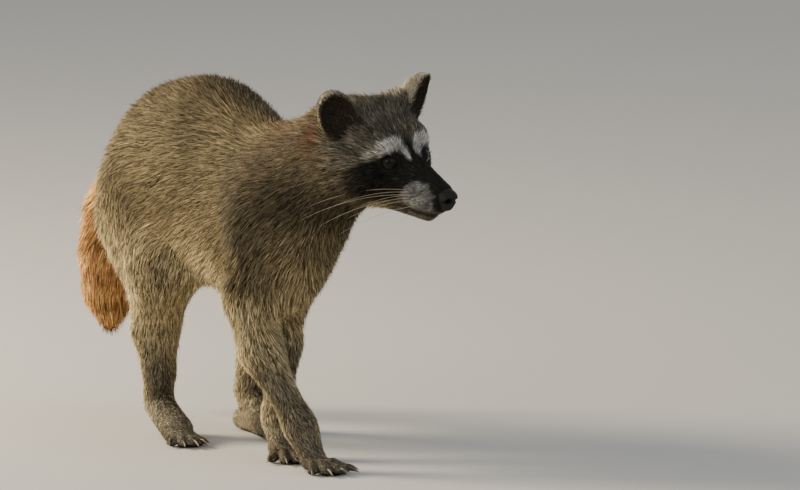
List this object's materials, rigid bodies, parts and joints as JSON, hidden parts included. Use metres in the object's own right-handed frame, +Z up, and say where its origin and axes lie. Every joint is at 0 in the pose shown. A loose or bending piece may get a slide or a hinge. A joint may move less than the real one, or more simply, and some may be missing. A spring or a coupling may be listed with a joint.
{
  "type": "raccoon animal model",
  "caption": "Life-size raccoon in mid stride, back arched, head low and turned to its left, bushy tail hanging behind.",
  "frame": {"origin": "on the floor, under the middle of the bounding box", "axes": "+X forward along the body, +Y to the animal's left, +Z up"},
  "size_m": [0.469, 0.1442, 0.2813],
  "materials": {
    "body_fur": "grizzled brown and cream guard hairs over grey underfur",
    "face_fur": "short grey and cream fur with a dark mask",
    "ear_fur": "short fur, grey-brown inside with a cream rim",
    "tail_fur": "long rufous fur with darker rings",
    "eye": "wet, near black",
    "nose": "moist, pebbled, black",
    "claw": "dull dark horn"
  },
  "bodies": {
    "root": {"ear_left": "ear_fur", "ear_right": "ear_fur", "eye_left": "eye", "eye_right": "eye", "front_left_forearm": "body_fur", "front_left_hand": "body_fur", "front_left_hand_claw_1": "claw", "front_left_hand_claw_2": "claw", "front_left_hand_claw_3": "claw", "front_left_hand_claw_4": "claw", "front_left_hand_claw_5": "claw", "front_left_upper_arm": "body_fur", "front_right_forearm": "body_fur", "front_right_hand": "body_fur", "front_right_hand_claw_1": "claw", "front_right_hand_claw_2": "claw", "front_right_hand_claw_3": "claw", "front_right_hand_claw_4": "claw", "front_right_hand_claw_5": "claw", "front_right_upper_arm": "body_fur", "head": "face_fur", "hind_left_foot": "body_fur", "hind_left_foot_claw_1": "claw", "hind_left_foot_claw_2": "claw", "hind_left_foot_claw_3": "claw", "hind_left_foot_claw_4": "claw", "hind_left_foot_claw_5": "claw", "hind_left_shin": "body_fur", "hind_left_thigh": "body_fur", "hind_right_foot": "body_fur", "hind_right_foot_claw_1": "claw", "hind_right_foot_claw_2": "claw", "hind_right_foot_claw_3": "claw", "hind_right_foot_claw_4": "claw", "hind_right_foot_claw_5": "claw", "hind_right_shin": "body_fur", "hind_right_thigh": "body_fur", "neck": "body_fur", "nose": "nose", "tail": "tail_fur", "trunk": "body_fur"}
  },
  "joints": []
}
